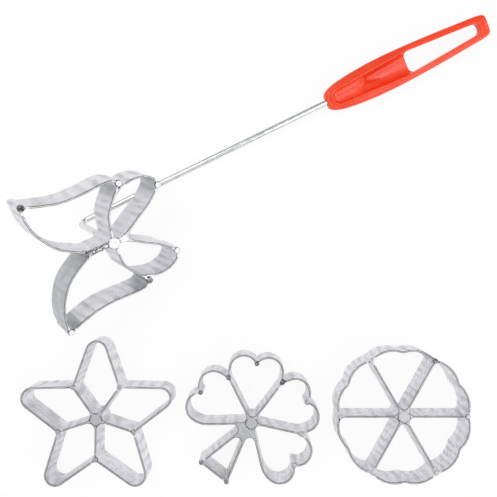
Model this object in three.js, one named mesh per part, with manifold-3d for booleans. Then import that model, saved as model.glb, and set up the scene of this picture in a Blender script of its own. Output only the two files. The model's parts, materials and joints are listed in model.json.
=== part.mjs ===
// Rosette iron: a bent steel rod in a moulded grip, with a butterfly mould screwed on its end,
// and three spare moulds, a star, a clover and a wheel, laid out rim up in front of it.
// Millimetres, +Z up. The iron lies as it comes to rest, on its grip, its bend and a wing tip.
import * as THREE from "three";
import { mergeVertices } from "three/addons/utils/BufferGeometryUtils.js";
import Module from "manifold-3d";

const wasm = await Module();
wasm.setup();

// Cast moulds: each wall tapers from the back, where the rod screws in, to the dipping rim
const mouldHeight = 19;
const rimWall = 1.1;
const backWall = 2;
const bossRimRadius = 3.4;
const bossBackRadius = 4.3;
const postRadius = 1.5;
const tipPostRadius = 1.9;
const hubFillet = 3;

// Star
const starArms = 5;
const starReach = 45;
const starWaistRadius = 22.9;
const starTipRadius = 6;
const starHubFillet = 3.8;

// Clover
const leafCount = 4;
const leafHalfAngle = 32.3;
const leafJointRadius = 29.2;
const leafJointFillet = 1.2;
const lobeCentreReach = 29.8;
const lobeCentreSide = 7.15;
const lobeRadius = 8.4;
const leafShoulderRadius = 14;
const stemReach = 35.3;
const stemHalfAngle = 14.5;

// Wheel
const wheelLobes = 12;
const wheelNotchRadius = 36.9;
const wheelLobeRise = 1.8;

// Butterfly
const butterflyLength = 75;
const butterflyHalfSpan = 37;
const bodyRimWall = 2.3;
const bodyBackWall = 3;

// Rod: the long limb from the bend's corner into the grip, the stub from there to the mould
const rodDiameter = 3.7;
const bendRadius = 3.8;
const bendAngle = 64.6;
const stubLength = 33.5;
const threadDiameter = 3.2;
const threadRelief = 1.5;
const threadClearance = 0.35;
const boreDepth = 13.5;
const endChamfer = 0.5;

// Grip, along the rod from its nose
const gripStart = 168.4;
const gripLength = 108.5;
const gripWidth = 21.4;
const gripThickness = 9.6;
const gripLoopThickness = 6.2;
const wellStart = 4.2;
const wellFrontWidth = 7.8;
const floorThickness = 2.4;
const slotStart = 54.8;
const slotWidth = 13.4;
const slotEndWall = 5.7;
const slotEndWidth = 6.6;
const slotCorner = 3.2;
const beadRadius = 0.9;
const beadSink = 0.45;
const ridgeRadius = 3;
const ridgeEndRadius = 1.3;
const ridgeLength = 25.5;
const ridgeSlope = 5;
const socketClearance = 0.3;

// Places on the table, measured from the clover's boss, and the way that each piece is turned
const bendPlace = [-105.5, 116.6];
const starPlace = [-89.8, 1.9];
const wheelPlace = [88, 3.6];
const rodHeading = 26;
const gripTwist = -19;
const butterflyTurn = -12.9;
const firstLeafAngle = -44.6;
const starTurn = 90;

// Fineness of the curves, and the overrun and weld that every cut and solid shares
const arcStep = 15;
const roundSides = 20;
const curveSteps = 10;
const bendRings = 9;
const gripRings = 28;
const gripSides = 28;
const beadSides = 8;
const gripRoundingShare = 0.59;
const miterLimitShare = 2.2;
const settleTurns = 60;
const settledShare = 1e-8;
const overrun = 6;
const weldDistance = 1e-4;

const rad = THREE.MathUtils.degToRad;
const polar = (radius, angle) => [radius * Math.cos(rad(angle)), radius * Math.sin(rad(angle))];
const range = (count) => Array.from({ length: count }, (_, index) => index);
const turned = ([x, y], angle) => {
  const [cos, sin] = polar(1, angle);
  return [x * cos - y * sin, x * sin + y * cos];
};

// A closed three.js geometry as a solid that can be joined and cut
function solid(geometry) {
  geometry.deleteAttribute("normal");
  geometry.deleteAttribute("uv");
  const welded = mergeVertices(geometry, weldDistance);
  return new wasm.Manifold(new wasm.Mesh({
    numProp: 3,
    vertProperties: Float32Array.from(welded.attributes.position.array),
    triVerts: Uint32Array.from(welded.index.array),
  }));
}

const joined = (solids) => solids.reduce((whole, next) => whole.add(next));

// Rows of points, closed round each row, joined row to row and capped, or closed in a loop
function skin(rows, loop = false) {
  const sides = rows[0].length;
  const total = rows.length * sides;
  const faces = [];
  for (const row of range(loop ? rows.length : rows.length - 1)) {
    for (const side of range(sides)) {
      const here = row * sides + side;
      const beside = row * sides + ((side + 1) % sides);
      const ahead = (here + sides) % total;
      const across = (beside + sides) % total;
      faces.push(here, beside, across, here, across, ahead);
    }
  }
  for (const side of loop ? [] : range(sides - 2)) {
    const last = total - sides;
    faces.push(0, side + 2, side + 1, last, last + side + 1, last + side + 2);
  }
  const geometry = new THREE.BufferGeometry();
  geometry.setAttribute("position", new THREE.Float32BufferAttribute(rows.flat(2), 3));
  geometry.setIndex(faces);
  return solid(geometry);
}

// A round post, boss or hole that stands upright at a place
function upright(topRadius, bottomRadius, from, to, [x, y] = [0, 0]) {
  const height = to - from;
  const form = new THREE.CylinderGeometry(topRadius, bottomRadius, height, roundSides);
  return solid(form.rotateX(Math.PI / 2).translate(x, y, from + height / 2));
}

// An outline with its corners eased, raised to a prism
function prism(corners, from, to, ease = 0) {
  const points = corners.map(([x, y]) => new THREE.Vector2(x, y));
  const shape = new THREE.Shape();
  points.forEach((corner, index) => {
    const before = points[(index + points.length - 1) % points.length];
    const after = points[(index + 1) % points.length];
    const start = corner.clone().add(before.clone().sub(corner).setLength(ease));
    const end = corner.clone().add(after.clone().sub(corner).setLength(ease));
    if (index === 0) shape.moveTo(start.x, start.y);
    else shape.lineTo(start.x, start.y);
    if (ease > 0) shape.quadraticCurveTo(corner.x, corner.y, end.x, end.y);
  });
  const settings = { depth: to - from, bevelEnabled: false, curveSegments: curveSteps / 2 };
  return solid(new THREE.ExtrudeGeometry(shape, settings).translate(0, 0, from));
}

// A cast wall along a line of places, thick at the back and thin at the rim
function wall(line, loop = false, rim = rimWall, back = backWall) {
  const heading = (from, to) => Math.atan2(to[1] - from[1], to[0] - from[0]);
  const rows = line.map((place, index) => {
    const before = line[(index + line.length - 1) % line.length];
    const after = line[(index + 1) % line.length];
    const arriving = loop || index > 0 ? heading(before, place) : heading(place, after);
    const leaving = loop || index < line.length - 1 ? heading(place, after) : arriving;
    const bend = Math.atan2(Math.sin(leaving - arriving), Math.cos(leaving - arriving)) / 2;
    const miter = Math.min(1 / Math.cos(bend), miterLimitShare);
    const left = [-Math.sin(arriving + bend) * miter, Math.cos(arriving + bend) * miter];
    const corner = (side, thickness, height) => [
      place[0] + (left[0] * side * thickness) / 2,
      place[1] + (left[1] * side * thickness) / 2,
      height,
    ];
    return [
      corner(-1, back, 0), corner(1, back, 0),
      corner(1, rim, mouldHeight), corner(-1, rim, mouldHeight),
    ];
  });
  return skin(rows, loop);
}

// Places along an arc round a centre, from one angle to another
function arc([x, y], radius, from, to) {
  const steps = Math.max(Math.ceil(Math.abs(to - from) / arcStep), 1);
  return range(steps + 1).map((step) => {
    const [dx, dy] = polar(radius, from + ((to - from) * step) / steps);
    return [x + dx, y + dy];
  });
}

// Where a line from a place touches a circle, as an angle round the circle's centre
function touchAngle([x, y], [centreX, centreY], radius) {
  const away = Math.hypot(x - centreX, y - centreY);
  const towards = Math.atan2(y - centreY, x - centreX) - Math.acos(radius / away);
  return THREE.MathUtils.radToDeg(towards);
}

// The web that rounds the corner between two walls that leave a place at two angles
function fillet(place, from, to, radius = hubFillet) {
  const half = (to - from) / 2;
  const reach = (radius + rimWall / 2) / Math.sin(rad(half));
  const along = reach * Math.cos(rad(half));
  const centre = polar(reach, from + half);
  const curve = arc(centre, radius, from - 90, to - 270);
  const outline = [[0, 0], polar(along, from), ...curve, polar(along, to)];
  return prism(outline.map(([x, y]) => [place[0] + x, place[1] + y]), 0, mouldHeight);
}

// The webs between all of the walls that leave the boss, by the walls' angles in order
function hubWebs(angles, radius) {
  return angles.map((angle, index) => {
    const next = index + 1 < angles.length ? angles[index + 1] : angles[0] + 360;
    return fillet([0, 0], angle, next, radius);
  });
}

const post = (place, radius = postRadius) => upright(radius, radius, 0, mouldHeight, place);
const boss = () => upright(bossRimRadius, bossBackRadius, 0, mouldHeight);

// The threaded hole in the boss, blind, open at the back
function bored(mould) {
  const radius = threadDiameter / 2 + threadClearance;
  return mould.subtract(upright(radius, radius, -overrun, boreDepth));
}

// Star: five long arms with round tips, and a spoke from the boss to each inner corner
function starMould() {
  const armAngle = 360 / starArms;
  const corner = polar(starWaistRadius, armAngle / 2);
  const tipCentre = [starReach - starTipRadius, 0];
  const touch = touchAngle(corner, tipCentre, starTipRadius);
  const tip = arc(tipCentre, starTipRadius, -touch, touch);
  const arms = range(starArms).map((arm) => starTurn + arm * armAngle);
  const outline = arms.flatMap((angle) => [...tip, corner].map((place) => turned(place, angle)));
  const corners = arms.map((angle) => turned(corner, angle));
  return bored(joined([
    wall(outline, true), boss(),
    ...hubWebs(arms.map((angle) => angle + armAngle / 2), starHubFillet),
    ...corners.map((place) => wall([[0, 0], place])),
    ...corners.map((place) => post(place)),
  ]));
}

const lobeCentre = [lobeCentreReach, lobeCentreSide];
const notchShare = Math.min(lobeCentreSide / lobeRadius, 1);
const notchAngle = -THREE.MathUtils.radToDeg(Math.asin(notchShare));

// Half of a heart-shaped leaf, from the wall that it shares with the next leaf to its notch
function sharedHalf() {
  const joint = polar(leafJointRadius, leafHalfAngle);
  const touch = touchAngle(joint, lobeCentre, lobeRadius);
  return [joint, ...arc(lobeCentre, lobeRadius, touch, notchAngle)];
}

// The same half beside the stem: its own straight wall swings into the lobe in a wider curve
function openHalf() {
  const [reach, side] = turned(lobeCentre, -leafHalfAngle);
  const rise = leafShoulderRadius + side;
  const along = Math.sqrt(Math.max((leafShoulderRadius - lobeRadius) ** 2 - rise ** 2, 0));
  const meeting = leafHalfAngle + THREE.MathUtils.radToDeg(Math.atan2(rise, along));
  const middle = turned([reach - along, -leafShoulderRadius], leafHalfAngle);
  const shoulder = arc(middle, leafShoulderRadius, leafHalfAngle + 90, meeting);
  return [[0, 0], ...shoulder.slice(0, -1), ...arc(lobeCentre, lobeRadius, meeting, notchAngle)];
}

// A leaf's outer wall from its left half to its right half
const leafLine = (left, right) =>
  [...left, ...right.slice(0, -1).reverse().map(([x, y]) => [x, -y])];

// Clover: four leaves side by side round the boss, and a stem that widens to a bar in the gap
function cloverMould() {
  const half = sharedHalf();
  const [start, next] = half;
  const leaving = THREE.MathUtils.radToDeg(Math.atan2(next[1] - start[1], next[0] - start[0]));
  const notch = half.at(-1);
  const first = leafLine(half, openHalf());
  const last = leafLine(openHalf(), half);
  const leaves = [first, ...range(leafCount - 2).map(() => leafLine(half, half)), last];
  const axes = range(leafCount).map((index) => firstLeafAngle + index * 2 * leafHalfAngle);
  const shared = range(leafCount + 1).map((index) => axes[0] + (2 * index - 1) * leafHalfAngle);
  const stemAngle = (axes[0] + axes[leafCount - 1]) / 2 + 180;
  const stemEnd = stemReach / Math.cos(rad(stemHalfAngle));
  const halfGap = leafHalfAngle - leaving;
  const joints = shared.slice(1, leafCount).map((angle) => [angle, polar(leafJointRadius, angle)]);
  const stemSides = [stemAngle - stemHalfAngle, stemAngle + stemHalfAngle];
  const stemEnds = stemSides.map((angle) => polar(stemEnd, angle));
  return bored(joined([
    boss(), ...hubWebs([...shared, ...stemSides], hubFillet),
    ...joints.map(([, place]) => wall([[0, 0], place])),
    ...axes.map((angle, index) => wall(leaves[index].map((place) => turned(place, angle)))),
    ...stemEnds.map((place) => wall([[0, 0], place])), wall(stemEnds),
    ...joints.map(([, place]) => post(place)),
    ...joints.map(([angle, place]) => fillet(place, angle - halfGap, angle + halfGap, leafJointFillet)),
    ...stemEnds.map((place) => post(place)),
    ...axes.map((angle) => post(turned(notch, angle))),
  ]));
}

// Wheel: a rim of round lobes, and a spoke to every second notch between them
function wheelMould() {
  const step = 360 / wheelLobes;
  const halfChord = wheelNotchRadius * Math.sin(rad(step / 2));
  const chordReach = wheelNotchRadius * Math.cos(rad(step / 2));
  const rise = wheelNotchRadius + wheelLobeRise - chordReach;
  const radius = halfChord ** 2 / (2 * rise) + rise / 2;
  const centre = [chordReach + rise - radius, 0];
  const sweep = THREE.MathUtils.radToDeg(Math.asin(halfChord / radius));
  const lobe = arc(centre, radius, -sweep, sweep).slice(1);
  const outline = range(wheelLobes).flatMap((index) =>
    lobe.map((place) => turned(place, (index + 0.5) * step)));
  const notches = range(wheelLobes).map((index) => polar(wheelNotchRadius, index * step));
  const spoked = notches.filter((_, index) => index % 2 === 0);
  return bored(joined([
    wall(outline, true), boss(),
    ...hubWebs(range(wheelLobes / 2).map((index) => index * 2 * step), hubFillet),
    ...spoked.map((place) => wall([[0, 0], place])),
    ...spoked.map((place) => post(place)),
  ]));
}

// Butterfly: each wall of the left half in shares of the length and of the half span
const butterflyShares = {
  foreEdge: [[-0.514, 1], [-0.32, 0.885], [-0.19, 0.858], [-0.065, 0.869], [0.07, 0.895],
    [0.14, 0.879], [0.173, 0.817]],
  trailingEdge: [[-0.514, 1], [-0.524, 0.86], [-0.5, 0.62], [-0.448, 0.416], [-0.387, 0.26],
    [-0.29, 0.125], [-0.2, 0.031]],
  rib: [[0, 0], [0.016, 0.323], [0.036, 0.447], [0.08, 0.577], [0.173, 0.817]],
  hindEdge: [[0.125, 0.687], [0.185, 0.739], [0.247, 0.778], [0.32, 0.788], [0.4, 0.744],
    [0.452, 0.656], [0.462, 0.562]],
  hindRib: [[0.462, 0.562], [0.356, 0.359], [0.224, 0.198], [0.127, 0.073], [0.03, 0]],
};
const butterflyPostShares = [[-0.514, 1], [0.173, 0.817], [0.462, 0.562]];

function butterflyMould() {
  const place = ([x, y], side) => [x * butterflyLength, y * side * butterflyHalfSpan];
  const curved = (shares, side) => {
    const points = shares.map((share) => new THREE.Vector2(...place(share, side)));
    return new THREE.SplineCurve(points).getPoints(curveSteps).map(({ x, y }) => [x, y]);
  };
  const trailEnd = butterflyShares.trailingEdge.at(-1);
  const heading = ([from, to]) => {
    const [[startX, startY], [endX, endY]] = [place(from, 1), place(to, 1)];
    return THREE.MathUtils.radToDeg(Math.atan2(endY - startY, endX - startX));
  };
  const ribAngle = heading(butterflyShares.rib);
  const hindAngle = heading(butterflyShares.hindRib.slice(-2).reverse());
  const tail = place(butterflyShares.hindRib.at(-1), 0);
  const sideStep = tail[0] * Math.tan(rad(hindAngle));
  return bored(joined([
    boss(), wall([place(trailEnd, 0), [0, 0]], false, bodyRimWall, bodyBackWall),
    fillet(tail, -hindAngle, hindAngle),
    fillet([0, -sideStep], hindAngle, ribAngle), fillet([0, sideStep], -ribAngle, -hindAngle),
    ...[1, -1].flatMap((side) => [
      ...Object.values(butterflyShares).map((shares) => wall(curved(shares, side))),
      ...butterflyPostShares.map((share) => post(place(share, side), tipPostRadius)),
    ]),
  ]));
}

// Rod: a row of round sections from the thread's end, round the bend and into the grip
function rodForm() {
  const radius = rodDiameter / 2;
  const rootRadius = threadDiameter / 2;
  const turn = 180 - bendAngle;
  const corner = bendRadius * Math.tan(rad(turn / 2));
  const tip = stubLength + boreDepth - threadClearance;
  const end = gripStart + ridgeLength - ridgeSlope - socketClearance;
  const sections = [];
  const section = ([x, z], heading, size) => {
    const [ahead, rise] = polar(1, heading);
    sections.push(range(roundSides).map((side) => {
      const [out, across] = polar(size, (360 * side) / roundSides);
      return [x + out * rise, across, z - out * ahead];
    }));
  };
  const onStub = (distance, size) =>
    section(polar(distance, bendAngle), bendAngle - 180, size);
  onStub(tip, rootRadius - endChamfer);
  onStub(tip - endChamfer, rootRadius);
  onStub(stubLength - threadRelief, rootRadius);
  onStub(stubLength - threadRelief - endChamfer, radius);
  for (const ring of range(bendRings + 1)) {
    const heading = bendAngle - 180 + (turn * ring) / bendRings;
    const [x, z] = polar(bendRadius, heading - 90);
    section([corner + x, bendRadius + z], heading, radius);
  }
  section([end - endChamfer, 0], 0, radius);
  section([end, 0], 0, radius - endChamfer);
  return skin(sections);
}

// Grip: shares of its length against shares of its half width and of its half thickness, and
// shares of the well's length against shares of the floor that is left under it
const gripWidthShares = [[0, 0.4], [0.02, 0.6], [0.07, 0.77], [0.16, 0.9], [0.27, 0.98],
  [0.4, 1], [0.52, 0.96], [0.64, 0.9], [0.76, 0.82], [0.88, 0.73], [0.96, 0.67], [0.99, 0.6], [1, 0.5]];
const wellFloorShares = [[0, 2.3], [0.07, 1.6], [0.3, 1.15], [0.6, 1], [1, 1.25]];
const gripEdgeShares = [[0, 0.62], [0.03, 0.86], [0.12, 1], [0.9, 1], [0.985, 0.92], [1, 0.7]];

function shareAt(shares, along) {
  const index = shares.findIndex(([share]) => share >= along);
  if (index <= 0) return shares[0][1];
  const [[from, low], [to, high]] = [shares[index - 1], shares[index]];
  return THREE.MathUtils.mapLinear(along, from, to, low, high);
}

const slotEnd = gripLength - slotEndWall;
const wellBack = slotStart + slotCorner;

// Half of the grip's width and half of its thickness, a share of the way along it
function gripSize(along) {
  const thinning = THREE.MathUtils.smoothstep(along * gripLength, slotStart / 2, slotEnd);
  const thickness = THREE.MathUtils.lerp(gripThickness, gripLoopThickness, thinning);
  return [
    (shareAt(gripWidthShares, along) * gripWidth) / 2,
    (shareAt(gripEdgeShares, along) * thickness) / 2,
  ];
}

// A point of the grip's rounded section, in shares of its half width and half thickness
const rounded = (angle) =>
  polar(1, angle).map((side) => Math.sign(side) * Math.abs(side) ** gripRoundingShare);

function gripBody() {
  const rows = range(gripRings + 1).map((ring) => {
    const along = (1 - Math.cos((Math.PI * ring) / gripRings)) / 2;
    const [halfWidth, halfThickness] = gripSize(along);
    return range(gripSides).map((side) => {
      const [across, up] = rounded((360 * side) / gripSides);
      return [along * gripLength, across * halfWidth, up * halfThickness];
    });
  });
  return skin(rows);
}

// How high the grip's skin lies over a place on its middle plane
function gripTop([x, y]) {
  const [halfWidth, halfThickness] = gripSize(x / gripLength);
  const across = Math.min(Math.abs(y) / halfWidth, 1) ** (1 / gripRoundingShare);
  return halfThickness * Math.sqrt(1 - across ** 2) ** gripRoundingShare;
}

// Half of the well's edge, from the middle of its round front end to its open back
function wellEdge(grow) {
  const radius = wellFrontWidth / 2;
  const centre = wellStart + radius;
  const back = range(curveSteps).map((step) => {
    const along = (step + 1) / curveSteps;
    const halfWidth = THREE.MathUtils.lerp(radius, slotWidth / 2, along);
    return [THREE.MathUtils.lerp(centre, wellBack, along), halfWidth + grow];
  });
  return [...arc([centre, 0], radius + grow, 180, 90), ...back];
}

// The well: a scoop for the thumb with a rounded floor, open at the top and into the slot
function well() {
  const rows = wellEdge(0).slice(1).map(([x, halfWidth]) => {
    const [, rim] = gripSize(x / gripLength);
    const along = (x - wellStart) / (wellBack - wellStart);
    const floor = shareAt(wellFloorShares, along) * floorThickness - rim;
    const trough = range(gripSides / 2 + 1).map((side) => {
      const [across, up] = rounded(180 + (360 * side) / gripSides);
      return [x, across * halfWidth, rim + up * (rim - floor)];
    });
    return [[x, -halfWidth, gripThickness], ...trough, [x, halfWidth, gripThickness]];
  });
  return skin(rows);
}

// The bead round the well's edge, which sinks into the skin beside the slot
function bead() {
  const half = wellEdge(beadRadius);
  const line = [...half.slice(1).reverse().map(([x, y]) => [x, -y]), ...half];
  const rows = line.map(([x, y], index) => {
    const before = line[Math.max(index - 1, 0)];
    const after = line[Math.min(index + 1, line.length - 1)];
    const heading = Math.atan2(after[1] - before[1], after[0] - before[0]);
    const sinking = THREE.MathUtils.smoothstep(x, slotStart - slotCorner, wellBack);
    const height = gripTop([x, y]) - beadSink - sinking * beadRadius;
    return range(beadSides).map((side) => {
      const [out, up] = polar(beadRadius, (360 * side) / beadSides);
      return [x - Math.sin(heading) * out, y + Math.cos(heading) * out, height + up];
    });
  });
  return skin(rows);
}

// A round bar that lies along the grip, by its radius at each place along it
function bar(places) {
  return skin(places.map(([x, radius]) => range(roundSides).map((side) => {
    const [across, up] = polar(radius, (360 * side) / roundSides);
    return [x, across, up];
  })));
}

// The ridge over the rod's socket stands in the well and slopes down to its floor
function gripForm() {
  const slot = prism([[slotStart, -slotWidth / 2], [slotEnd, -slotEndWidth / 2],
    [slotEnd, slotEndWidth / 2], [slotStart, slotWidth / 2]],
  -gripThickness, gripThickness, slotCorner);
  const socketEnd = ridgeLength - ridgeSlope;
  const socketRadius = rodDiameter / 2 + socketClearance;
  const socket = bar([[-overrun, socketRadius], [socketEnd, socketRadius]]);
  const ridge = bar([[0, ridgeRadius], [socketEnd, ridgeRadius], [ridgeLength, ridgeEndRadius]]);
  const hollow = well().subtract(ridge);
  return gripBody().add(bead()).subtract(hollow).subtract(slot).subtract(socket);
}

function piece(name, form, colour, roughness, metalness) {
  const { vertProperties, triVerts } = form.getMesh();
  const geometry = new THREE.BufferGeometry();
  geometry.setAttribute("position", new THREE.BufferAttribute(vertProperties, 3));
  geometry.setIndex(new THREE.BufferAttribute(triVerts, 1));
  const faceted = geometry.toNonIndexed();
  faceted.computeVertexNormals();
  const material = new THREE.MeshStandardMaterial({ color: colour, roughness, metalness });
  const made = new THREE.Mesh(faceted, material);
  made.name = name;
  return made;
}

const castAluminium = (name, form) => piece(name, form, 0xd2d2d8, 0.42, 0.85);
const chromedSteel = (name, form) => piece(name, form, 0xd9dcdc, 0.16, 1);
const redPlastic = (name, form) => piece(name, form, 0xe8452a, 0.3, 0);

// The lowest corner of a mesh, looking down a given way in the frame of the group that holds it
function lowest(mesh, down) {
  const corners = mesh.geometry.attributes.position;
  const best = new THREE.Vector3();
  let depth = -Infinity;
  for (const index of range(corners.count)) {
    const corner = new THREE.Vector3().fromBufferAttribute(corners, index);
    corner.applyMatrix4(mesh.matrixWorld);
    if (corner.dot(down) > depth) {
      depth = corner.dot(down);
      best.copy(corner);
    }
  }
  return best;
}

// Rolls a group until the table touches three of its pieces, and sets it down there
function settle(group, feet, firstRoll) {
  group.updateMatrixWorld(true);
  let up = new THREE.Vector3(0, 0, 1).applyAxisAngle(new THREE.Vector3(1, 0, 0), -firstRoll);
  let touching = [];
  for (const turn of range(settleTurns)) {
    const down = up.clone().negate();
    touching = feet.map((mesh) => lowest(mesh, down));
    const [first, second, third] = touching;
    const level = second.clone().sub(first).cross(third.clone().sub(first)).normalize();
    if (level.dot(up) < 0) level.negate();
    if (turn > 0 && level.distanceTo(up) < settledShare) break;
    up = level;
  }
  const ahead = new THREE.Vector3(1, 0, 0).projectOnPlane(up).normalize();
  const across = up.clone().cross(ahead);
  const basis = new THREE.Matrix4().makeBasis(ahead, across, up);
  group.quaternion.setFromRotationMatrix(basis).invert();
  group.quaternion.premultiply(
    new THREE.Quaternion().setFromAxisAngle(new THREE.Vector3(0, 0, 1), rad(rodHeading)));
  group.position.set(...bendPlace, -touching[0].dot(up));
}

const rod = chromedSteel("rod", rodForm());

const grip = redPlastic("grip", gripForm());
grip.position.x = gripStart;
grip.rotation.x = rad(gripTwist);

const butterfly = castAluminium("butterfly_mould", butterflyMould());
butterfly.rotation.z = rad(butterflyTurn);
const seat = new THREE.Group();
const [seatAhead, seatUp] = polar(stubLength, bendAngle);
seat.position.set(seatAhead, 0, seatUp);
seat.rotation.y = rad(90 - bendAngle);
seat.add(butterfly);

const iron = new THREE.Group();
iron.add(rod, grip, seat);
settle(iron, [rod, grip, butterfly], rad(90 - bendAngle));

const star = castAluminium("star_mould", starMould());
star.position.set(...starPlace, 0);
const clover = castAluminium("clover_mould", cloverMould());
const wheel = castAluminium("wheel_mould", wheelMould());
wheel.position.set(...wheelPlace, 0);

// The set stands on z = 0 with the middle of its box at the origin
const group = new THREE.Group();
group.add(iron, star, clover, wheel);
group.updateMatrixWorld(true);
const box = new THREE.Box3().setFromObject(group, true);
const middle = box.getCenter(new THREE.Vector3());
group.position.set(-middle.x, -middle.y, -box.min.z);

export default group;
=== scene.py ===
import json
import math

import bpy
from mathutils import Matrix, Vector


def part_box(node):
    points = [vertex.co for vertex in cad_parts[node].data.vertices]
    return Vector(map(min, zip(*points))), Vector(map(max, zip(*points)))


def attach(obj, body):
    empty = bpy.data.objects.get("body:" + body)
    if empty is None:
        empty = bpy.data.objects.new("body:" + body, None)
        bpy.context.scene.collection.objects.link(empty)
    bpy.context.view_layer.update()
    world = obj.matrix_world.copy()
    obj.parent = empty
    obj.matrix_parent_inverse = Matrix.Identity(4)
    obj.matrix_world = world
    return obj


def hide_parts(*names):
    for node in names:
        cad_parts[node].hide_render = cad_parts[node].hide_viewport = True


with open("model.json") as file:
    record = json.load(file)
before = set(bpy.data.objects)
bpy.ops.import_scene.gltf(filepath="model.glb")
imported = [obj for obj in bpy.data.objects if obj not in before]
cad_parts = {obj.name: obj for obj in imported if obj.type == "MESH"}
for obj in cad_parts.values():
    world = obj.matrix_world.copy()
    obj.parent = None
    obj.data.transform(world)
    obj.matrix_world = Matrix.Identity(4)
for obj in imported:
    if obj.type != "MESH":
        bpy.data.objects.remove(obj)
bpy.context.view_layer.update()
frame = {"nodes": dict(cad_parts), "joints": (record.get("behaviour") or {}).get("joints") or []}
nodes = frame["nodes"]
scene = bpy.context.scene
print("frame loaded:", ", ".join(sorted(nodes)))

mm = 0.001


def polar(radius, angle):
    return Vector((radius * math.cos(math.radians(angle)), radius * math.sin(math.radians(angle)), 0))


def swell(distance, middle, half):
    away = abs(distance - middle) / half
    return math.cos(away * math.pi / 2) ** 2 if away < 1 else 0.0


# Places in mm from the wheel, whose middle is the middle of its box, and how the iron lies
layout = {
    "camera": (-89.7, 84.0, 365.0), "star": (-177.8, -1.7, 0), "clover": (-88.0, -3.6, 0),
    "butterfly": (-173.78, 104.05, 27.27), "bend": (-193.5, 113.0, 1.71),
    "rodHeading": 26.0, "rodSlope": 1.27, "bendAngle": 64.6, "butterflyTurn": -12.9,
}

wheelLow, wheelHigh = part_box("wheel_mould")
wheelMiddle = Vector(((wheelLow.x + wheelHigh.x) / 2, (wheelLow.y + wheelHigh.y) / 2, 0))


def placed(offset):
    return wheelMiddle + Vector(offset) * mm


def frameOf(place, ahead, side, up):
    rows = zip(ahead, side, up)
    return Matrix.Translation(place) @ Matrix([(*row, 0) for row in rows] + [(0, 0, 0, 1)])


# The rod's long limb runs to the grip, and its stub rises to the butterfly on the thread's axis
stubWay = Vector(frame["joints"][0]["axis"]).normalized()
heading, slope = math.radians(layout["rodHeading"]), math.radians(layout["rodSlope"])
limbWay = Vector((math.cos(heading) * math.cos(slope), math.sin(heading) * math.cos(slope), math.sin(slope)))
sideWay = stubWay.cross(limbWay).normalized()
outWay = sideWay.cross(stubWay)
rodFrame = frameOf(placed(layout["bend"]), outWay, sideWay, stubWay)
flyAhead = Matrix.Rotation(math.radians(layout["butterflyTurn"]), 3, stubWay) @ outWay
butterflyFrame = frameOf(placed(layout["butterfly"]), flyAhead, stubWay.cross(flyAhead), stubWay)


# Camera: 365 mm above the table, looking almost straight down. Focal length and sensor are in mm,
# the tilt in degrees and the nearest distance that it sees in metres
lens = {"focal": 43.1, "sensor": 36.0, "tilt": 2.165, "nearest": 0.01}
bpy.ops.object.camera_add(location=placed(layout["camera"]), rotation=(math.radians(lens["tilt"]), 0, 0))
camera = bpy.context.object
camera.data.lens = lens["focal"]
camera.data.sensor_width = lens["sensor"]
camera.data.clip_start = lens["nearest"]
scene.camera = camera
scene.view_settings.view_transform = "Standard"


# Small helpers for modelling

def activate(piece):
    bpy.ops.object.select_all(action="DESELECT")
    piece.select_set(True)
    bpy.context.view_layer.objects.active = piece


def applied(piece, kind, **settings):
    activate(piece)
    modifier = piece.modifiers.new(kind.lower(), kind)
    for name, value in settings.items():
        setattr(modifier, name, value)
    bpy.ops.object.modifier_apply(modifier=modifier.name)


def eased(piece, rounds, group=""):
    applied(piece, "SMOOTH", factor=0.5, iterations=rounds, vertex_group=group)


def tidied(piece, weld=0.01):
    activate(piece)
    bpy.ops.object.mode_set(mode="EDIT")
    bpy.ops.mesh.select_all(action="SELECT")
    bpy.ops.mesh.remove_doubles(threshold=weld * mm)
    bpy.ops.mesh.normals_make_consistent(inside=False)
    bpy.ops.object.mode_set(mode="OBJECT")


def copyOfNode(node, name):
    piece = bpy.data.objects.new(name, nodes[node].data.copy())
    scene.collection.objects.link(piece)
    piece.data.materials.clear()
    tidied(piece)
    return piece


def smooth(piece):
    activate(piece)
    bpy.ops.object.shade_smooth()


def finished(piece, material, body, node):
    piece.data.materials.append(material)
    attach(piece, body)
    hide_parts(node)
    print(piece.name, "has", len(piece.data.polygons), "faces")


# Shader nodes written as sums: a Flow holds one socket of a material's tree

class Flow:
    def __init__(self, tree, socket=None):
        self.tree = tree
        self.socket = socket

    def via(self, kind, settings, inputs, output=0):
        node = self.tree.nodes.new("ShaderNode" + kind)
        for name, value in settings.items():
            setattr(node, name, value)
        for key, value in inputs.items():
            if isinstance(value, Flow):
                self.tree.links.new(value.socket, node.inputs[key])
            else:
                node.inputs[key].default_value = value
        return Flow(self.tree, node.outputs[output])

    def beside(self, output):
        return Flow(self.tree, self.socket.node.outputs[output])

    def sum(self, operation, first, second):
        return self.via("Math", {"operation": operation}, {0: first, 1: second})

    def __add__(self, other):
        return self.sum("ADD", self, other)

    def __radd__(self, other):
        return self.sum("ADD", other, self)

    def __sub__(self, other):
        return self.sum("SUBTRACT", self, other)

    def __rsub__(self, other):
        return self.sum("SUBTRACT", other, self)

    def __mul__(self, other):
        return self.sum("MULTIPLY", self, other)

    def __rmul__(self, other):
        return self.sum("MULTIPLY", other, self)


def newMaterial(name):
    material = bpy.data.materials.new(name)
    material.use_nodes = True
    shader = material.node_tree.nodes["Principled BSDF"]
    return material, Flow(material.node_tree), shader


def link(flow, shader, name):
    flow.tree.links.new(flow.socket, shader.inputs[name])


def noise(flow, place, scale, detail=3.0, roughness=0.55):
    return flow.via("TexNoise", {}, {"Vector": place, "Scale": scale, "Detail": detail,
                                     "Roughness": roughness})


def turned(flow, place, turn, scale):
    place = flow.via("Mapping", {}, {"Vector": place, "Rotation": turn})
    return flow.via("Mapping", {}, {"Vector": place, "Scale": scale})


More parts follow.
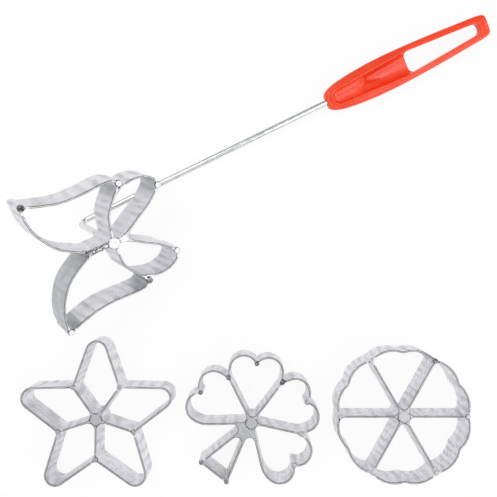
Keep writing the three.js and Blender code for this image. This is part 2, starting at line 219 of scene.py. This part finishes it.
def between(flow, value, low, high, start=0.0, end=1.0):
    return flow.via("MapRange", {"interpolation_type": "SMOOTHSTEP"},
                    {"Value": value, 1: low, 2: high, 3: start, 4: end})


def mixed(flow, share, first, second):
    return flow.via("Mix", {"data_type": "RGBA"}, {0: share, 6: first, 7: second}, 2)


def bumped(flow, shader, height, strength, distance):
    bump = flow.via("Bump", {}, {"Height": height, "Strength": strength, "Distance": distance * mm})
    link(bump, shader, "Normal")


# Cast aluminium. Each casting keeps measures on its points: its place in its own mould's frame, how
# squarely it faces up there, and its painted light (how many radii it is from the nearest pillar's middle,
# the tone of the painted reflection on that pillar's top, and how much painted shade or dark patching it
# has, with 2 for the speckled painted shade on the butterfly's body). The painted reflections on rims and
# pillar tops, the painted shade and the dark patches are painted by place, after the photographed ones
# Colours: pale, dull, ripple and pore are the metal's own. The near black of 0.035 is painted shade on edges
# and round the pillars, and a painted dark reflection on flat rims. The grey and the dark are painted
# reflections on flat tops and pillar tops, and the white is a painted glint on the butterfly's rims and
# pillar tops. The mid grey of 0.43 to 0.465 is painted shade on one butterfly wing and the colour of its dark
# patches, and the near black of 0.006 is painted shade, speckled, on its body
castLook = {
    "pale": (0.94, 0.935, 0.965, 1), "dull": (0.78, 0.775, 0.815, 1), "ripple": (0.50, 0.50, 0.53, 1),
    "rim": (0.035, 0.035, 0.037, 1), "pore": (0.06, 0.06, 0.06, 1), "paintedShadeAndPatches": (0.43, 0.45, 0.465, 1),
    "speckledShade": (0.006, 0.006, 0.006, 1), "white": (0.97, 0.97, 0.97, 1), "reflectedGrey": (0.52, 0.52, 0.53, 1),
    "reflectedDark": (0.05, 0.05, 0.05, 1), "bandScale": 0.075,
    "plainReflectionTone": 0.5, "reach": 2.0,  # the tone away from pillars, and how many radii a pillar marks
}
# The heights over which the edge, the flat top and the painted shade rings round the pillars set in, in mm
# above the back
castHeights = {"edge": (17.9, 18.3), "top": (18.2, 18.6), "ring": (17.4, 17.8)}
castNoises = {"grain": (1900.0, 4.0), "cloud": (150.0, 4.0), "ragged": (900.0, 4.0),
              "drift": (95.0, 2.0)}  # scale and detail
# The turn and the stretch of each pattern that runs one way
castGrains = {
    "chatter": ((0.0, 0.0, -0.75), (330.0, 60.0, 70.0)),
    "bands": ((0.0, 0.0, -0.9), (1000.0, 1000.0, 600.0)),
    "scratch": ((0.1, 0.0, 0.3), (1500.0, 1500.0, 90.0)),
    "mottle": ((0.0, 0.5, -0.6), (950.0, 260.0, 260.0)),
}


def castMaterial(name, rimColour, edgeShadeShare, mottled):
    material, flow, shader = newMaterial(name)
    place = flow.via("Attribute", {"attribute_name": "place"}, {}, 1)
    paintedLight = flow.via("SeparateXYZ", {}, {0: flow.via("Attribute", {"attribute_name": "paintedLight"}, {}, 1)})
    near, reflectionTone, darkening = paintedLight, paintedLight.beside(1), paintedLight.beside(2)
    facing = flow.via("Attribute", {"attribute_name": "facing"}, {}, 2)
    height = flow.via("SeparateXYZ", {}, {0: place}, 2) * (1 / mm)

    grain, cloud, ragged, drift = (noise(flow, place, *sizes) for sizes in castNoises.values())
    chatter = noise(flow, turned(flow, place, *castGrains["chatter"]), 1.0, 3.0, 0.5)
    bands = flow.via("TexWave", {"wave_type": "BANDS", "bands_direction": "X", "wave_profile": "SIN"},
                     {"Vector": turned(flow, place, *castGrains["bands"]),
                      "Scale": castLook["bandScale"], "Distortion": 9.0, "Detail": 2.0, "Detail Scale": 0.35},
                     "Fac")
    scratch = noise(flow, turned(flow, place, *castGrains["scratch"]), 1.0, 3.0)

    patches = between(flow, cloud * 0.6 + grain * 0.4, 0.38, 0.58)
    colour = mixed(flow, patches, castLook["dull"], castLook["pale"])
    streaks = between(flow, chatter * 0.72 + bands * 0.28, 0.42, 0.72)
    streaks = streaks * between(flow, drift, 0.38, 0.62, 0.25, 0.7)
    colour = mixed(flow, streaks, colour, castLook["ripple"])
    mottle = noise(flow, turned(flow, place, *castGrains["mottle"]), 1.0, 4.0, 0.65)
    colour = mixed(flow, between(flow, mottle, 0.47, 0.66) * mottled, colour, castLook["ripple"])
    colour = mixed(flow, between(flow, scratch, 0.60, 0.74) * 0.4, colour, castLook["ripple"])
    colour = mixed(flow, between(flow, grain + cloud * 0.35, 0.80, 0.88) * 0.8, colour, castLook["pore"])
    # Painted shade on one butterfly wing, and dark patches on its walls
    paintedShadeAndPatches = darkening * between(flow, cloud * 0.6 + chatter * 0.4, 0.42, 0.58, 1.0, 0.65)
    colour = mixed(flow, paintedShadeAndPatches * 0.92, colour, castLook["paintedShadeAndPatches"])

    # The flat top is painted a grey reflection between edges of painted shade. Near the pillars, and near the
    # butterfly's boss, it has the mould's painted rim reflection instead: dark on three moulds, a white glint
    # on the butterfly, whose outer edge is also darkened with painted shade
    top = between(flow, height, *castHeights["top"])
    edge = between(flow, height, *castHeights["edge"])
    plain = between(flow, flow.sum("ABSOLUTE", reflectionTone - castLook["plainReflectionTone"], 0.0), 0.02, 0.01)
    broken = between(flow, ragged, 0.40, 0.54, 0.3, 1.0) * between(flow, drift, 0.40, 0.58, 0.3, 1.0)
    outerEdgeShade = edge * between(flow, facing, 0.75, 0.6) * broken * edgeShadeShare
    colour = mixed(flow, outerEdgeShade, colour, castLook["rim"])
    greyTopReflection = plain * top * between(flow, ragged * 0.5 + cloud * 0.5, 0.4, 0.6, 0.9, 0.55)
    colour = mixed(flow, greyTopReflection, colour, castLook["reflectedGrey"])
    rimLine = between(flow, facing, 0.72, 0.93) * edge * broken
    colour = mixed(flow, rimLine * (1 - plain * 0.8), colour, rimColour)
    topEdgeShade = plain * top * between(flow, facing, 0.35, 0.6) * between(flow, facing, 0.97, 0.9)
    colour = mixed(flow, topEdgeShade * 0.8, colour, castLook["rim"])
    # Speckled painted shade on the top of the butterfly's body: near black between pale grain
    speckle = between(flow, ragged * 0.4 + grain * 0.6, 0.50, 0.54)
    shadeSpeckle = mixed(flow, speckle, castLook["speckledShade"], castLook["pale"])
    colour = mixed(flow, between(flow, darkening, 1.2, 1.8), colour, shadeSpeckle)

    # Pillar tops get a painted reflection, from dark through grey to a white glint, speckled, and a ring of
    # painted shade round their sides just below the top
    disc = between(flow, near, 0.86, 0.78) * top
    ring = between(flow, near, 0.80, 0.88) * between(flow, near, 1.18, 1.08)
    ring = ring * between(flow, height, *castHeights["ring"])
    topReflection = mixed(flow, between(flow, reflectionTone, 0.0, 0.5), castLook["reflectedDark"], castLook["reflectedGrey"])
    topReflection = mixed(flow, between(flow, reflectionTone, 0.5, 1.0), topReflection, castLook["white"])
    speckled = mixed(flow, between(flow, ragged, 0.48, 0.62) * 0.6, topReflection, castLook["ripple"])
    colour = mixed(flow, disc, colour, speckled)
    ring = ring * between(flow, ragged + drift * 0.6, 0.72, 0.9, 0.15, 0.9)
    colour = mixed(flow, ring, colour, castLook["rim"])
    link(colour, shader, "Base Color")

    # Bright pillar tops are made less metallic, so that their painted glint shows white
    link(0.8 - disc * between(flow, reflectionTone, 0.6, 1.0) * 0.7, shader, "Metallic")
    link(between(flow, cloud, 0.3, 0.7, 0.38, 0.52) + grain * 0.08, shader, "Roughness")
    bumped(flow, shader, grain * 0.2 + chatter * 0.6 + scratch * 0.2, 0.4, 0.2)
    return material


# How a casting's surface is made: lengths in mm, rounds of smoothing and the share of faces kept
casting = {"grain": 0.33, "easing": 5, "waveLength": 6.0, "waveHeight": 0.16, "keep": 0.4}


def markMould(piece, toLocal, pillars, darkeningAt):
    mesh = piece.data
    for name, kind in (("place", "FLOAT_VECTOR"), ("paintedLight", "FLOAT_VECTOR"), ("facing", "FLOAT")):
        mesh.attributes.new(name, kind, "POINT")
    place, paintedLight, facing = (mesh.attributes[name] for name in ("place", "paintedLight", "facing"))
    upWay = toLocal.to_3x3()
    for index, vertex in enumerate(mesh.vertices):
        local = toLocal @ vertex.co
        place.data[index].vector = local
        facing.data[index].value = (upWay @ vertex.normal).z
        local = local / mm
        near, reflectionTone = castLook["reach"], castLook["plainReflectionTone"]
        for pillar, radius, topReflectionTone in pillars:
            away = math.hypot(local.x - pillar.x, local.y - pillar.y) / radius
            if away < near:
                near, reflectionTone = away, topReflectionTone
        paintedLight.data[index].vector = (near, reflectionTone, darkeningAt(local) if darkeningAt else 0.0)


def castMould(name, node, body, toWorld, pillars, rimColour="rim", edgeShadeShare=0.0, darkeningAt=None, mottled=0.6):
    piece = copyOfNode(node, name)
    applied(piece, "REMESH", mode="VOXEL", voxel_size=casting["grain"] * mm)
    eased(piece, casting["easing"])
    waves = bpy.data.textures.new(name + "_waves", "CLOUDS")
    waves.noise_scale = casting["waveLength"] * mm
    applied(piece, "DISPLACE", texture=waves, strength=casting["waveHeight"] * mm, mid_level=0.5)
    applied(piece, "DECIMATE", ratio=casting["keep"])
    smooth(piece)
    markMould(piece, toWorld.inverted(), pillars, darkeningAt)
    material = castMaterial(name + "_metal", castLook[rimColour], edgeShadeShare, mottled)
    finished(piece, material, body, node)


# A pillar's tone is the painted reflection on its top: 0 dark, 0.5 grey, 1 a white glint
bossTop = (Vector((0, 0, 0)), 3.4, castLook["plainReflectionTone"])  # middle, radius in mm and brightness

# Star: a pillar at each inner corner
star = {"waist": 22.9, "firstCorner": 126.0, "armTurn": 72, "arms": 5, "pillar": 1.5, "reflectionTone": 0.35}
starPillars = [(polar(star["waist"], star["firstCorner"] + star["armTurn"] * arm),
                star["pillar"], star["reflectionTone"]) for arm in range(star["arms"])]
castMould("star_casting", "star_mould", "star", Matrix.Translation(placed(layout["star"])),
          [bossTop, *starPillars])

# Clover: pillars at the notch of each leaf, between the leaves and at the stem's ends
clover = {"firstLeaf": -44.6, "leafTurn": 64.6, "notch": 34.2, "joint": 29.2, "stemAngle": 232.3,
          "stemHalf": 14.5, "stemEnd": 36.46, "pillar": 1.5, "jointPillar": 1.8,
          "leafReflectionTones": (0.4, 0.35, 0.1, 0.15), "jointReflectionTones": (0.4, 0.1, 0.15), "stemReflectionTone": 0.2}
cloverPillars = [(polar(clover["notch"], clover["firstLeaf"] + leaf * clover["leafTurn"]),
                  clover["pillar"], reflectionTone) for leaf, reflectionTone in enumerate(clover["leafReflectionTones"])]
cloverPillars += [(polar(clover["joint"], clover["firstLeaf"] + (leaf + 0.5) * clover["leafTurn"]),
                   clover["jointPillar"], reflectionTone) for leaf, reflectionTone in enumerate(clover["jointReflectionTones"])]
cloverPillars += [(polar(clover["stemEnd"], clover["stemAngle"] + side * clover["stemHalf"]),
                   clover["pillar"], clover["stemReflectionTone"]) for side in (-1, 1)]
castMould("clover_casting", "clover_mould", "clover", Matrix.Translation(placed(layout["clover"])),
          [bossTop, *cloverPillars])

# Wheel: a pillar at the end of each spoke
wheel = {"spokeEnd": 36.9, "spokeTurn": 60, "pillar": 1.5, "spokeReflectionTones": (0.45, 0.1, 0.45, 0.45, 0.45, 0.45)}
wheelPillars = [(polar(wheel["spokeEnd"], wheel["spokeTurn"] * spoke), wheel["pillar"], reflectionTone)
                for spoke, reflectionTone in enumerate(wheel["spokeReflectionTones"])]
castMould("wheel_casting", "wheel_mould", "wheel", Matrix.Translation(wheelMiddle),
          [bossTop, *wheelPillars])

# Butterfly: its own thread's axis is its frame's up, and it looks away from the grip
fly = {"length": 75.0, "halfSpan": 37.0, "pillar": 1.9, "boss": 3.5, "bossReflectionTone": 1.0, "edgeShadeShare": 0.8,
       "mottled": 0.2}
# Each pillar's place, as shares of the length and of the half span, and the tone of the painted reflection on
# its top
flyPillarShares = [((-0.514, 1), 0.0), ((-0.514, -1), 1.0), ((0.173, 0.817), 0.9), ((0.173, -0.817), 0.1),
                   ((0.462, 0.562), 0.9), ((0.462, -0.562), 0.95)]
flyPillars = [(Vector((along * fly["length"], across * fly["halfSpan"], 0)), fly["pillar"], reflectionTone)
              for (along, across), reflectionTone in flyPillarShares]

# The speckled painted shade on the top of its body and the painted shade on one wing: where they lie,
# in mm from the boss, and how dark
flyDarkening = {"bodyLow": 16.0, "bodyHalf": 3.4, "bodyBack": -17, "bodyFront": -3.2, "speckledShade": 2.0,
          "wingSide": -1.2, "wingFront": -14.5, "wing": 0.9}
# Dark patches on its walls: place in mm from the boss, radius and darkness
flyDarkPatches = [((10, 27), 7, 0.9), ((32, 20), 6, 0.9), ((-19, -4), 7, 1.0), ((10, -31), 9, 0.9),
              ((-37, -33), 5, 0.6), ((-28, 34), 14, 0.35)]


# How dark a point is painted: speckled painted shade on the body's top, painted shade on one wing, and dark
# patches
def butterflyDarkening(local):
    onBody = abs(local.y) < flyDarkening["bodyHalf"] and flyDarkening["bodyBack"] < local.x < flyDarkening["bodyFront"]
    if onBody and local.z > flyDarkening["bodyLow"]:
        return flyDarkening["speckledShade"]
    onWing = local.y < flyDarkening["wingSide"] and local.x < flyDarkening["wingFront"] + local.y / 2
    darkening = flyDarkening["wing"] if onWing else 0.0
    for (x, y), radius, darkness in flyDarkPatches:
        darkening = max(darkening, darkness * swell(math.hypot(local.x - x, local.y - y), 0, radius))
    return darkening


castMould("butterfly_casting", "butterfly_mould", "butterfly", butterflyFrame,
          [(bossTop[0], fly["boss"], fly["bossReflectionTone"]), *flyPillars], "white", fly["edgeShadeShare"],
          butterflyDarkening, fly["mottled"])


# Rod
chromeLook = {"dull": (0.70, 0.72, 0.70, 1), "pale": (0.82, 0.83, 0.82, 1), "speck": (0.35, 0.36, 0.34, 1),
              "wipeScale": 240.0, "speckScale": 2600.0}


def chromeMaterial():
    material, flow, shader = newMaterial("chromed_wire")
    place = flow.via("TexCoord", {}, {}, 3)
    wipe = noise(flow, place, chromeLook["wipeScale"], 3.0)
    speck = noise(flow, place, chromeLook["speckScale"], 2.0)
    colour = mixed(flow, between(flow, wipe, 0.35, 0.65), chromeLook["dull"], chromeLook["pale"])
    colour = mixed(flow, between(flow, speck, 0.66, 0.76) * 0.5, colour, chromeLook["speck"])
    link(colour, shader, "Base Color")
    shader.inputs["Metallic"].default_value = 1.0
    link(between(flow, wipe, 0.3, 0.7, 0.12, 0.24), shader, "Roughness")
    bumped(flow, shader, speck * 0.5 + wipe * 0.5, 0.06, 0.1)
    return material


# Lengths in mm, with places along the stub and the limb measured from the bend's corner. Above the
# thread's start, what lies within nearAxis of the stub's axis is cut as thread
rod = {
    "diameter": 3.7, "bendRadius": 3.8, "end": 188.6, "chamfer": 0.5, "sides": 40, "bendSteps": 24,
    "tip": 46.6, "threadFrom": 32.0, "threadRings": 146, "pitch": 0.7, "root": 3.16, "crest": 3.62,
    "nearAxis": 3, "sharpAngle": 50, "weld": 0.001,
}


def drawn(step):
    bpy.ops.mesh.extrude_region_move(TRANSFORM_OT_translate={"value": step * mm})


def threadRadius(place):
    height, angle = place.z / mm, math.atan2(place.y, place.x)
    turn = (height / rod["pitch"] - angle / (2 * math.pi)) % 1
    ridge = 1 - abs(2 * turn - 1)
    runOut = min((rod["tip"] - height) / rod["pitch"], (height - rod["threadFrom"]) / rod["pitch"] - 1, 1)
    return (rod["root"] + (rod["crest"] - rod["root"]) * ridge * max(runOut, 0)) / 2


def bentRod():
    bend = rod["bendRadius"]
    turn = 180 - layout["bendAngle"]
    corner = bend * math.tan(math.radians(turn / 2))
    ringStep = (rod["tip"] - rod["threadFrom"]) / rod["threadRings"]
    down = Vector((0, 0, -1))
    # A disc at the thread's tip is drawn down the stub, round the bend and along the limb
    bpy.ops.object.select_all(action="DESELECT")
    bpy.ops.mesh.primitive_circle_add(vertices=rod["sides"], radius=rod["diameter"] / 2 * mm,
                                      fill_type="NGON", location=(0, 0, rod["tip"] * mm))
    piece = bpy.context.object
    piece.name = "rod_wire"
    bpy.ops.object.transform_apply()
    bpy.ops.object.mode_set(mode="EDIT")
    bpy.ops.mesh.select_all(action="SELECT")
    for _ in range(rod["threadRings"]):
        drawn(down * ringStep)
    drawn(down * rod["chamfer"])
    drawn(down * (rod["threadFrom"] - rod["chamfer"] - corner))
    bpy.ops.mesh.spin(steps=rod["bendSteps"], angle=math.radians(turn), axis=(0, 1, 0),
                      center=(bend * mm, 0, corner * mm))
    limb = polar(1, 90 - layout["bendAngle"])
    drawn(Vector((limb.x, 0, limb.y)) * (rod["end"] - corner))
    bpy.ops.object.mode_set(mode="OBJECT")
    threadLow = (rod["threadFrom"] - rod["chamfer"] / 2) * mm
    for vertex in piece.data.vertices:
        if vertex.co.z > threadLow and vertex.co.xy.length < rod["nearAxis"] * mm:
            vertex.co.xy = vertex.co.xy.normalized() * threadRadius(vertex.co) * mm
    tidied(piece, rod["weld"])
    piece.matrix_world = rodFrame
    activate(piece)
    bpy.ops.object.transform_apply()
    bpy.ops.object.shade_smooth_by_angle(angle=math.radians(rod["sharpAngle"]))
    finished(piece, chromeMaterial(), "iron", "rod")


bentRod()


# Grip: its outline and its well in mm from its nose, along the rod and across it
gripLook = {
    "pale": (0.92, 0.068, 0.017, 1), "deep": (0.87, 0.048, 0.010, 1), "grain": 0.285, "easing": 19,
    "start": 168.4, "twist": -19.0, "wellStart": 4.2, "frontRadius": 3.9, "backHalf": 6.7, "wellBack": 58.0,
    "beadMiddle": 0.9, "beadHalf": 1.15, "beadRise": 0.7, "cleft": 2.5, "cleftHalf": 0.8, "cleftDepth": 0.35,
    "cleftEnd": 16, "cleftShare": 0.25, "beadEnd": 53.5, "fade": 4.5, "skin": 1.2, "soft": 19,
    "wellEdge": 0.2, "skinsDown": 3, "lastEasing": 4, "specular": 0.42, "cloudScale": 60.0,
    "rippleScale": 160.0,
}
# The floor over the rod's socket, by its distance from the nose, its height and its hollow. Its end
# slants across the well, from slantFrom to slantTo
trough = {
    "from": 4.2, "block": 21.5, "lip": 26.8, "to": 28.6, "lowLip": 22, "lowTo": 39, "slantFrom": -1.5,
    "slantTo": 0.5, "high": 2.6, "lipHigh": 1.2, "low": -3.0, "hollow": 0.05, "under": -3.2, "side": 0.5,
    "steps": 58, "across": 28, "weld": 0.001,
}
gripUp = Matrix.Rotation(math.radians(gripLook["twist"]), 3, limbWay) @ limbWay.cross(sideWay).normalized()
gripFrame = frameOf(placed(layout["bend"]) + limbWay * gripLook["start"] * mm, limbWay,
                    gripUp.cross(limbWay), gripUp)


def plasticMaterial():
    material, flow, shader = newMaterial("red_plastic")
    place = flow.via("TexCoord", {}, {}, 3)
    cloud = noise(flow, place, gripLook["cloudScale"], 3.0)
    colour = mixed(flow, between(flow, cloud, 0.3, 0.7), gripLook["deep"], gripLook["pale"])
    link(colour, shader, "Base Color")
    link(between(flow, cloud, 0.3, 0.7, 0.20, 0.28), shader, "Roughness")
    shader.inputs["Specular IOR Level"].default_value = gripLook["specular"]
    bumped(flow, shader, noise(flow, place, gripLook["rippleScale"], 2.0), 0.05, 0.2)
    return material


def outsideWell(local):
    centre = gripLook["wellStart"] + gripLook["frontRadius"]
    if local.x < centre:
        return math.hypot(local.x - centre, local.y) - gripLook["frontRadius"]
    return abs(local.y) - halfWell(local.x)


def halfWell(x):
    centre = gripLook["wellStart"] + gripLook["frontRadius"]
    if x < centre:
        return math.sqrt(max(gripLook["frontRadius"] ** 2 - (centre - x) ** 2, 0))
    along = (x - centre) / (gripLook["wellBack"] - centre)
    return gripLook["frontRadius"] * (1 - along) + gripLook["backHalf"] * along


def ramp(value, low, high, start, end):
    share = min(max((value - low) / (high - low), 0), 1)
    return start + (end - start) * share


# A grid is laid as the shallow trough over the socket, and drawn down into the floor
def socketFloor():
    bpy.ops.object.select_all(action="DESELECT")
    bpy.ops.mesh.primitive_grid_add(x_subdivisions=trough["steps"], y_subdivisions=trough["across"], size=2)
    piece = bpy.context.object
    for vertex in piece.data.vertices:
        x = ramp(vertex.co.x, -1, 1, trough["from"], trough["lowTo"])
        y = vertex.co.y * (halfWell(x) + trough["side"])
        lip = ramp(y, trough["slantFrom"], trough["slantTo"], trough["lowLip"], trough["lip"])
        end = ramp(y, trough["slantFrom"], trough["slantTo"], trough["lowTo"], trough["to"])
        z = ramp(x, trough["block"], trough["lip"], trough["high"], trough["lipHigh"])
        z = ramp(x, lip, end, z, trough["low"]) + trough["hollow"] * y * y
        vertex.co = Vector((x, y, z)) * mm
    bpy.ops.object.mode_set(mode="EDIT")
    bpy.ops.mesh.select_all(action="SELECT")
    bpy.ops.mesh.extrude_region_move(TRANSFORM_OT_translate={"value": (0, 0, -mm)})
    bpy.ops.transform.resize(value=(1, 1, 0), center_override=(0, 0, trough["under"] * mm))
    bpy.ops.object.mode_set(mode="OBJECT")
    tidied(piece, trough["weld"])
    piece.matrix_world = gripFrame
    activate(piece)
    bpy.ops.object.transform_apply()
    return piece


# How far the skin rises into the bead round the well, and sinks into the groove outside it
def beadLift(local, outside):
    ending = min(max((gripLook["beadEnd"] - local.x) / gripLook["fade"], 0), 1)
    lift = gripLook["beadRise"] * swell(outside, gripLook["beadMiddle"], gripLook["beadHalf"])
    fading = ramp(local.x, gripLook["wellStart"], gripLook["cleftEnd"], 1, gripLook["cleftShare"])
    lift -= gripLook["cleftDepth"] * fading * swell(outside, gripLook["cleft"], gripLook["cleftHalf"])
    return lift * ending


def grip():
    piece = copyOfNode("grip", "grip_shell")
    extra = socketFloor()
    activate(piece)
    extra.select_set(True)
    bpy.ops.object.join()
    applied(piece, "REMESH", mode="VOXEL", voxel_size=gripLook["grain"] * mm)
    eased(piece, gripLook["easing"])
    toLocal = gripFrame.inverted()
    hollow = piece.vertex_groups.new(name="hollow")
    inside = []
    for vertex in piece.data.vertices:
        local = toLocal @ vertex.co / mm
        inside.append(outsideWell(local) < gripLook["wellEdge"]
                      and local.z > -gripLook["skin"] * gripLook["skinsDown"]
                      and gripLook["wellStart"] < local.x < gripLook["wellBack"])
    hollow.add([index for index, within in enumerate(inside) if within], 1.0, "REPLACE")
    eased(piece, gripLook["soft"], "hollow")
    normals = [vertex.normal.copy() for vertex in piece.data.vertices]
    for vertex, normal in zip(piece.data.vertices, normals):
        local = toLocal @ vertex.co / mm
        facesUp = (toLocal.to_3x3() @ normal).z
        if local.z > gripLook["skin"] and facesUp > 0:
            vertex.co += normal * beadLift(local, outsideWell(local)) * mm
    eased(piece, gripLook["lastEasing"])
    smooth(piece)
    finished(piece, plasticMaterial(), "iron", "grip")


grip()


# Floor, light and background
studio = {
    "sky": (0.74, 0.75, 0.76, 1), "horizon": (0.20, 0.22, 0.21, 1), "dim": (0.36, 0.37, 0.38, 1), "glow": 0.9,
    "white": (1, 1, 1, 1), "paper": (0.93, 0.93, 0.93, 1), "paperRoughness": 0.9, "floorSize": 6,
    "rise": (0.02, 0.42), "away": (0.25, 0.6), "awayShare": 0.8,  # where the sky brightens, and dims to +Y
    "lamps": {  # place in metres, size in metres and power in watts
        "key": ((-0.5, 0.35, 0.9), 0.6, 3.0), "fill": ((0.72, -0.50, 0.86), 0.55, 2.2),
        "streak": ((0.42, -0.06, 1.0), 0.22, 0.8), "block": ((0.95, 0.26, 0.7), 0.3, 0.7),
        "side": ((0.82, -0.36, 0.2), 0.4, 1.0),
    },
}


def floor():
    bpy.ops.object.select_all(action="DESELECT")
    bpy.ops.mesh.primitive_plane_add(size=studio["floorSize"], location=(0, 0, 0))
    sheet = bpy.context.object
    sheet.name = "floor"
    material, flow, shader = newMaterial("paper")
    shader.inputs["Base Color"].default_value = studio["paper"]
    shader.inputs["Roughness"].default_value = studio["paperRoughness"]
    rays = flow.via("LightPath", {}, {}, "Is Camera Ray")
    seen = flow.sum("MAXIMUM", flow.sum("MAXIMUM", rays, rays.beside("Is Glossy Ray")),
                    rays.beside("Is Transmission Ray"))
    glow = flow.via("Emission", {}, {"Color": studio["white"], "Strength": 1.0})
    paper = Flow(flow.tree, shader.outputs[0])
    surface = flow.via("MixShader", {}, {0: seen * studio["glow"], 1: paper, 2: glow})
    flow.tree.links.new(surface.socket, flow.tree.nodes["Material Output"].inputs["Surface"])
    sheet.data.materials.append(material)


def light():
    world = bpy.data.worlds.new("studio")
    scene.world = world
    world.use_nodes = True
    flow = Flow(world.node_tree)
    way = flow.via("TexCoord", {}, {}, 0)
    up = flow.via("SeparateXYZ", {}, {0: way}, 2)
    sky = mixed(flow, between(flow, up, *studio["rise"]), studio["horizon"], studio["sky"])
    back = flow.via("SeparateXYZ", {}, {0: way}, 1)
    sky = mixed(flow, between(flow, back, *studio["away"]) * studio["awayShare"], sky, studio["dim"])
    seen = flow.via("LightPath", {}, {}, "Is Camera Ray")
    sky = mixed(flow, seen, sky, studio["white"])
    flow.tree.links.new(sky.socket, world.node_tree.nodes["Background"].inputs["Color"])
    for name, (place, size, power) in studio["lamps"].items():
        bpy.ops.object.light_add(type="AREA", location=place)
        lamp = bpy.context.object
        lamp.name = name
        lamp.data.size = size
        lamp.data.energy = power
        lamp.rotation_euler = (-Vector(place)).to_track_quat("-Z", "Y").to_euler()


floor()
light()
print("studio lit")
